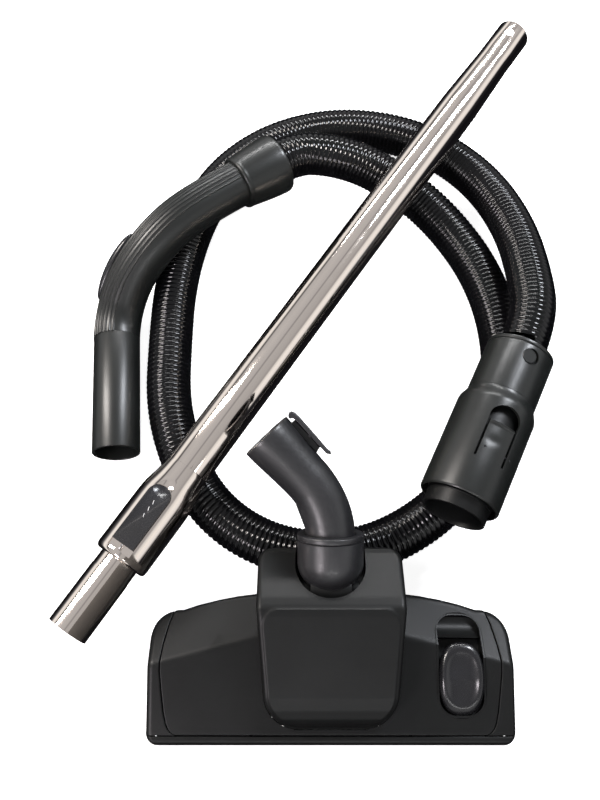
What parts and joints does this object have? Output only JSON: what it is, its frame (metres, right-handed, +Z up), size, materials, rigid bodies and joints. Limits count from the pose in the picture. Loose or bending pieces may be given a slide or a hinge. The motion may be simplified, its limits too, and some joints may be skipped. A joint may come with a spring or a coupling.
{
  "type": "vacuum cleaner hose, tube and floor head set",
  "caption": "Suction hose with curved grip handle and machine connector, telescopic chrome tube, and wide floor head with swivelling elbow.",
  "frame": {"origin": "on the floor under the middle of the laid-out set, its hose left out", "axes": "+Z up from the floor, +Y from the floor head towards the top of the tube, +X to the right with the head at the front"},
  "size_m": [0.3974, 0.6313, 0.1199],
  "materials": {
    "abs_grey": "satin moulded ABS, dark grey",
    "abs_black": "fine textured moulded ABS, near black",
    "abs_soft": "satin moulded ABS, charcoal",
    "hose_plastic": "glossy extruded EVA, black",
    "chrome": "bright chrome plate on steel tube",
    "acetal": "natural acetal bearing plastic",
    "steel": "bright drawn steel wire and pins",
    "rubber": "soft black rubber",
    "bristle": "black nylon bristle",
    "lint_felt": "red lint fabric"
  },
  "bodies": {
    "hose": {"hose": "hose_plastic", "hand_ferrule": "hose_plastic", "machine_ferrule": "hose_plastic"},
    "handle": {"handle_tip": "abs_grey", "grip_body": "abs_grey", "grip_cover": "abs_grey", "hand_collar": "abs_grey", "swivel_bush": "acetal"},
    "bleed": {"bleed_slider": "abs_soft"},
    "connector": {"cuff_ring": "abs_grey", "connector_cuff": "abs_grey", "cuff_rivet": "abs_soft", "connector_sleeve": "abs_grey", "latch_pin": "steel", "machine_stub": "abs_black", "stub_seal": "rubber"},
    "latch": {"latch_tab": "abs_grey"},
    "tube": {"outer_tube": "chrome", "adjuster_sleeve": "chrome", "guide_bush": "acetal", "button_spring": "steel"},
    "inner": {"inner_tube": "chrome", "stop_ring": "acetal"},
    "button": {"slide_button": "abs_soft"},
    "lock": {"lock_pin": "steel"},
    "head": {"sole_plate": "steel", "lint_strips": "lint_felt", "sole_screws": "steel", "base_housing": "abs_black", "top_housing": "abs_black", "end_cap_left": "abs_black", "end_cap_right": "abs_black", "front_bumper": "rubber", "centre_cover": "abs_black", "air_duct": "abs_black", "neck_cradle": "abs_black", "pedal_well": "abs_black", "pedal_pin": "steel", "pedal_spring": "steel", "wheel_axles": "steel"},
    "wheel_left": {"rear_wheel_left": "rubber"},
    "wheel_right": {"rear_wheel_right": "rubber"},
    "pedal": {"pedal": "abs_soft"},
    "carriage": {"brush_carriage": "abs_black", "front_brush": "bristle", "rear_brush": "bristle"},
    "neck": {"neck_barrel": "abs_black", "neck_cuff": "abs_grey", "neck_ring": "abs_grey"},
    "elbow": {"elbow": "abs_grey", "clip_pin": "steel", "clip_spring": "steel"},
    "clip": {"elbow_clip": "abs_soft"}
  },
  "joints": [
    {"name": "handle_swivel", "type": "hinge", "parent": "hose", "child": "handle", "pos_m": [-0.037, 0.168, 0.062], "axis": [-0.808, -0.5836, 0.0808], "range_deg": [0, 170]},
    {"name": "bleed_slide", "type": "slide", "parent": "handle", "child": "bleed", "axis": [-0.4763, -0.7243, -0.4985], "range_m": [0, 0.008]},
    {"name": "connector_swivel", "type": "hinge", "parent": "hose", "child": "connector", "pos_m": [0.1605, -0.024, 0.07], "axis": [-0.4299, -0.9029, 0], "continuous": true},
    {"name": "latch_press", "type": "hinge", "parent": "connector", "child": "latch", "pos_m": [0.12773, -0.11738, 0.09615], "axis": [-0.8371, 0.3986, 0.3746], "range_deg": [0, 4], "stiffness_Nm_per_rad": 0.5, "springref_deg": -1.15},
    {"name": "tube_lift", "type": "slide", "parent": "hose", "child": "tube", "axis": [0, 0, 1], "range_m": [0, 0.3]},
    {"name": "telescope", "type": "slide", "parent": "tube", "child": "inner", "axis": [-0.5622, -0.8263, -0.0326], "range_m": [0, 0.35]},
    {"name": "button_slide", "type": "slide", "parent": "tube", "child": "button", "axis": [-0.5622, -0.8263, -0.0326], "range_m": [0, 0.005], "stiffness_N_per_m": 250, "springref_m": -0.001, "deforming": ["button_spring"]},
    {"name": "lock_lift", "type": "slide", "parent": "tube", "child": "lock", "axis": [-0.0183, -0.0269, 0.9995], "range_m": [0, 0.0016]},
    {"name": "head_lift", "type": "slide", "parent": "hose", "child": "head", "axis": [0, 0, 1], "range_m": [0, 0.3]},
    {"name": "wheel_left_spin", "type": "hinge", "parent": "head", "child": "wheel_left", "pos_m": [-0.032, -0.22, 0.009], "axis": [1, 0, 0], "continuous": true},
    {"name": "wheel_right_spin", "type": "hinge", "parent": "head", "child": "wheel_right", "pos_m": [0.044, -0.22, 0.009], "axis": [1, 0, 0], "continuous": true},
    {"name": "pedal_press", "type": "hinge", "parent": "head", "child": "pedal", "pos_m": [0.1025, -0.2695, 0.022], "axis": [-1, 0, 0], "range_deg": [0, 8], "deforming": ["pedal_spring"]},
    {"name": "brush_drop", "type": "slide", "parent": "head", "child": "carriage", "axis": [0, 0, -1], "range_m": [0, 0.004], "stiffness_N_per_m": 300, "springref_m": -0.002},
    {"name": "neck_tilt", "type": "hinge", "parent": "head", "child": "neck", "pos_m": [0.006, -0.2095, 0.0519], "axis": [1, 0, 0], "range_deg": [0, 45]},
    {"name": "elbow_swivel", "type": "hinge", "parent": "neck", "child": "elbow", "pos_m": [0.006, -0.2095, 0.0519], "axis": [0, 0.9063, 0.4226], "continuous": true},
    {"name": "clip_press", "type": "hinge", "parent": "elbow", "child": "clip", "pos_m": [-0.00941, -0.10497, 0.10064], "axis": [0, 0.4226, -0.9063], "range_deg": [0, 4], "stiffness_Nm_per_rad": 0.15, "springref_deg": -1.72, "deforming": ["clip_spring"]}
  ],
  "couplings": [
    {"joint": "lock_lift", "follows": "button_slide", "ratio": 0.3},
    {"joint": "pedal_press", "follows": "brush_drop", "rad_per_m": 34.9}
  ]
}
